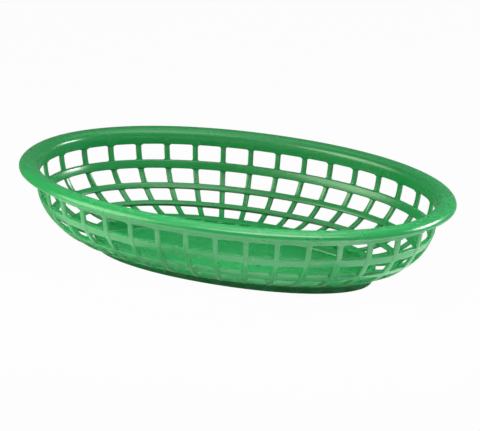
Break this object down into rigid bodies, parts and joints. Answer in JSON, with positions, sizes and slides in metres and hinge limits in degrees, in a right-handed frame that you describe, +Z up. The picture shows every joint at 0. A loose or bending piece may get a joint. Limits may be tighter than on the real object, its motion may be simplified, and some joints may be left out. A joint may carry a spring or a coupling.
{
  "type": "oval food basket",
  "caption": "Shallow oval plastic food basket with a rolled rim, a wall lattice of rectangular windows and a solid sunk base that it stands on.",
  "frame": {"origin": "centre of the oval plan, on the plane the foot stands on", "axes": "+X along the length, +Y across the width, +Z up out of the mouth"},
  "size_m": [0.238, 0.1524, 0.0482],
  "materials": {
    "plastic": "glossy green polypropylene, faintly translucent"
  },
  "bodies": {
    "root": {"rim": "plastic", "collar": "plastic", "hoop_upper": "plastic", "hoop_middle": "plastic", "hoop_lower": "plastic", "stave_01": "plastic", "stave_02": "plastic", "stave_03": "plastic", "stave_04": "plastic", "stave_05": "plastic", "stave_06": "plastic", "stave_07": "plastic", "stave_08": "plastic", "stave_09": "plastic", "stave_10": "plastic", "stave_11": "plastic", "stave_12": "plastic", "stave_13": "plastic", "stave_14": "plastic", "stave_15": "plastic", "stave_16": "plastic", "stave_17": "plastic", "stave_18": "plastic", "stave_19": "plastic", "stave_20": "plastic", "stave_21": "plastic", "stave_22": "plastic", "stave_23": "plastic", "stave_24": "plastic", "stave_25": "plastic", "stave_26": "plastic", "stave_27": "plastic", "stave_28": "plastic", "stave_29": "plastic", "stave_30": "plastic", "stave_31": "plastic", "stave_32": "plastic", "stave_33": "plastic", "stave_34": "plastic", "stave_35": "plastic", "stave_36": "plastic", "base_rail": "plastic", "foot_wall": "plastic", "floor": "plastic"}
  },
  "joints": []
}
